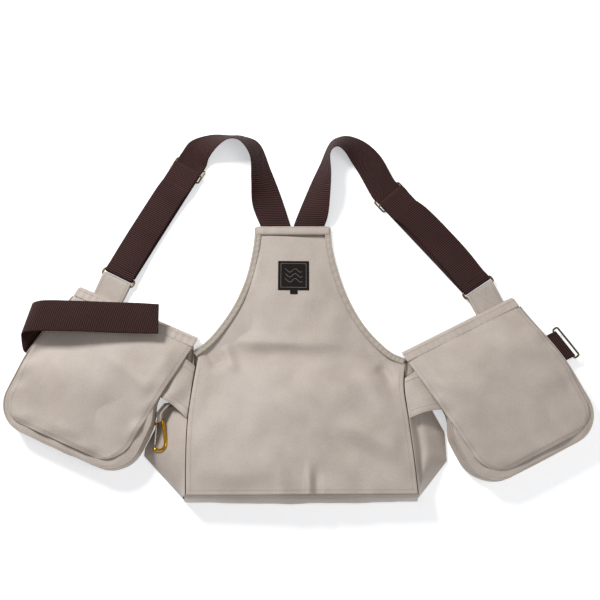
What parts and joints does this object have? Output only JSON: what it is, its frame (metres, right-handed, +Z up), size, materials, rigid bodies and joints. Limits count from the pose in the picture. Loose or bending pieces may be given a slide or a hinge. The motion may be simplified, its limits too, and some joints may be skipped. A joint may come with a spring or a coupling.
{
  "type": "fishing vest",
  "caption": "Soft fabric vest laid flat: back panel with expanding game bag, flapped side pockets, webbing shoulder straps with metal sliders, waist strap and a clip.",
  "frame": {"origin": "on the table, below the middle of the vest's box as it lies flat, outer face up", "axes": "+X to the side of the short waist webbing, +Y towards the neck, +Z up, away from the wearer's back"},
  "size_m": [0.95, 0.6418, 0.0638],
  "materials": {
    "fabric": "coated canvas weave",
    "webbing": "ribbed webbing",
    "label": "woven damask",
    "antique_brass": "antique",
    "gold": "anodised gloss",
    "steel": "satin"
  },
  "bodies": {
    "back": {"back_inner_panel": "fabric", "bag_outer_panel": "fabric", "bag_bottom_gusset": "fabric", "bag_side_gusset_left": "fabric", "bag_side_gusset_right": "fabric", "back_top_hem": "fabric", "armhole_binding_left": "fabric", "armhole_binding_right": "fabric", "woven_label": "label", "size_tag": "label", "side_connector_left": "fabric", "side_connector_right": "fabric", "carabiner_loop": "fabric"},
    "left_pocket": {"left_pocket_back": "fabric", "left_pocket_front": "fabric", "left_pocket_gusset": "fabric", "left_pocket_binding": "fabric", "left_strap_tab": "fabric", "left_shoulder_strap": "webbing", "left_strap_return": "webbing", "left_waist_strap_root": "webbing"},
    "left_flap": {"left_flap": "fabric", "left_flap_hem": "fabric"},
    "left_slider": {"left_slider": "antique_brass", "left_strap_end": "webbing"},
    "left_ring": {"left_ring": "antique_brass"},
    "right_pocket": {"right_pocket_back": "fabric", "right_pocket_front": "fabric", "right_pocket_gusset": "fabric", "right_pocket_binding": "fabric", "right_strap_tab": "fabric", "right_shoulder_strap": "webbing", "right_strap_return": "webbing", "right_waist_stub": "webbing"},
    "right_flap": {"right_flap": "fabric", "right_flap_hem": "fabric"},
    "right_slider": {"right_slider": "antique_brass", "right_strap_end": "webbing"},
    "right_ring": {"right_ring": "antique_brass"},
    "left_waist_strap": {"left_waist_strap": "webbing"},
    "waist_buckle": {"waist_buckle": "antique_brass"},
    "carabiner": {"carabiner_body": "gold", "carabiner_gate_pin": "steel"},
    "carabiner_gate": {"carabiner_gate": "steel"}
  },
  "joints": [
    {"name": "left_pocket_fold", "type": "hinge", "parent": "back", "child": "left_pocket", "pos_m": [-0.192, -0.10998, 0.046], "axis": [0.4004, 0.9164, 0], "range_deg": [0, 90], "deforming": ["left_shoulder_strap"]},
    {"name": "left_flap_lift", "type": "hinge", "parent": "left_pocket", "child": "left_flap", "pos_m": [-0.2697, -0.01056, 0.013], "axis": [-0.9164, 0.4004, 0], "range_deg": [0, 95]},
    {"name": "left_slider_slide", "type": "slide", "parent": "left_pocket", "child": "left_slider", "axis": [-0.4925, -0.8703, 0], "range_m": [0, 0.1], "deforming": ["left_strap_return"]},
    {"name": "left_ring_tilt", "type": "hinge", "parent": "left_pocket", "child": "left_ring", "pos_m": [-0.30872, 0.05069, 0.0064], "axis": [0.8945, -0.447, 0], "range_deg": [0, 3]},
    {"name": "right_pocket_fold", "type": "hinge", "parent": "back", "child": "right_pocket", "pos_m": [0.20007, -0.1337, 0.046], "axis": [0.4478, -0.8942, 0], "range_deg": [0, 90], "deforming": ["right_shoulder_strap"]},
    {"name": "right_flap_lift", "type": "hinge", "parent": "right_pocket", "child": "right_flap", "pos_m": [0.27246, -0.03035, 0.013], "axis": [-0.8942, -0.4478, 0], "range_deg": [0, 135]},
    {"name": "right_slider_slide", "type": "slide", "parent": "right_pocket", "child": "right_slider", "axis": [0.6566, -0.7543, 0], "range_m": [0, 0.1], "deforming": ["right_strap_return"]},
    {"name": "right_ring_tilt", "type": "hinge", "parent": "right_pocket", "child": "right_ring", "pos_m": [0.30857, 0.03308, 0.0064], "axis": [0.8308, 0.5566, 0], "range_deg": [0, 3]},
    {"name": "waist_strap_flip", "type": "hinge", "parent": "left_flap", "child": "left_waist_strap", "pos_m": [-0.4489, -0.0276, 0.05], "axis": [-0.204, -0.979, 0], "range_deg": [0, 150]},
    {"name": "waist_buckle_tilt", "type": "hinge", "parent": "right_pocket", "child": "waist_buckle", "pos_m": [0.44152, -0.062, 0.014], "axis": [0.5821, -0.8131, 0], "range_deg": [0, 80]},
    {"name": "carabiner_lift", "type": "hinge", "parent": "back", "child": "carabiner", "pos_m": [-0.22428, -0.18761, 0.02062], "axis": [-0.9041, -0.0698, -0.4216], "range_deg": [0, 34], "deforming": ["carabiner_loop"]},
    {"name": "carabiner_gate_open", "type": "hinge", "parent": "carabiner", "child": "carabiner_gate", "pos_m": [-0.22947, -0.19453, 0.0182], "axis": [-0.4226, 0, 0.9063], "range_deg": [0, 24], "stiffness_Nm_per_rad": 0.02, "springref_deg": -14.32}
  ]
}
